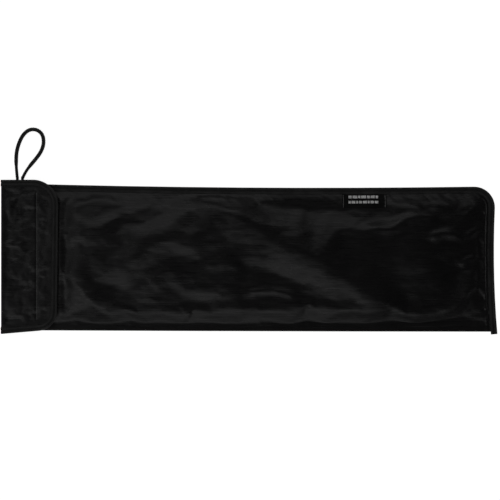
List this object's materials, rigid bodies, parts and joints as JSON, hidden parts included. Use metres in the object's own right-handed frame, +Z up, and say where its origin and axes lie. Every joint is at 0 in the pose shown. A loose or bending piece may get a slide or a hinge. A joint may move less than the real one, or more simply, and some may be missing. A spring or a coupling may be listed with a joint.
{
  "type": "softbox grid storage pouch",
  "caption": "Flat cloth storage pouch for a strip softbox's folded grid, with taped edges, a fold-over touch-tape flap, a woven label and a cord hanging loop.",
  "frame": {"origin": "on the table under the middle of the pouch's length and width, the cord left out", "axes": "+X along the pouch from the flap end to the closed end, +Y across it towards the seamed edge, +Z up out of the front"},
  "size_m": [0.669, 0.2781, 0.013],
  "materials": {
    "cloth": "satin coated plain weave",
    "binding_tape": "ribbed woven tape",
    "thread": "twisted thread",
    "hook_tape": "moulded hooks on woven tape",
    "loop_tape": "brushed loops",
    "woven_label": "satin woven",
    "cord": "braided"
  },
  "bodies": {
    "pouch": {"back_panel": "cloth", "front_panel": "cloth", "mouth_binding": "binding_tape", "edge_binding": "binding_tape", "corner_binding": "binding_tape", "loop_tape": "loop_tape", "edge_stitching": "thread", "loop_tape_stitching": "thread", "mouth_stitching": "thread", "woven_label": "woven_label", "label_stitching": "thread", "loop_bartack": "thread", "loop_tails": "cord"},
    "fold": {"fold_panel": "cloth", "fold_bindings": "binding_tape"},
    "flap": {"flap_panel": "cloth", "flap_binding": "binding_tape", "hook_tape": "hook_tape", "flap_stitching": "thread", "hook_tape_stitching": "thread"},
    "cord_loop": {"hanging_loop": "cord"}
  },
  "joints": [
    {"name": "fold_turn", "type": "hinge", "parent": "pouch", "child": "fold", "pos_m": [-0.3342, 0, 0.0008], "axis": [0, -1, 0], "range_deg": [0, 90]},
    {"name": "flap_turn", "type": "hinge", "parent": "fold", "child": "flap", "pos_m": [-0.3342, 0, 0.0114], "axis": [0, -1, 0], "range_deg": [0, 90]},
    {"name": "loop_swing", "type": "hinge", "parent": "pouch", "child": "cord_loop", "pos_m": [-0.31045, 0.1062, 0.002], "axis": [1, 0, 0], "range_deg": [0, 90]}
  ]
}
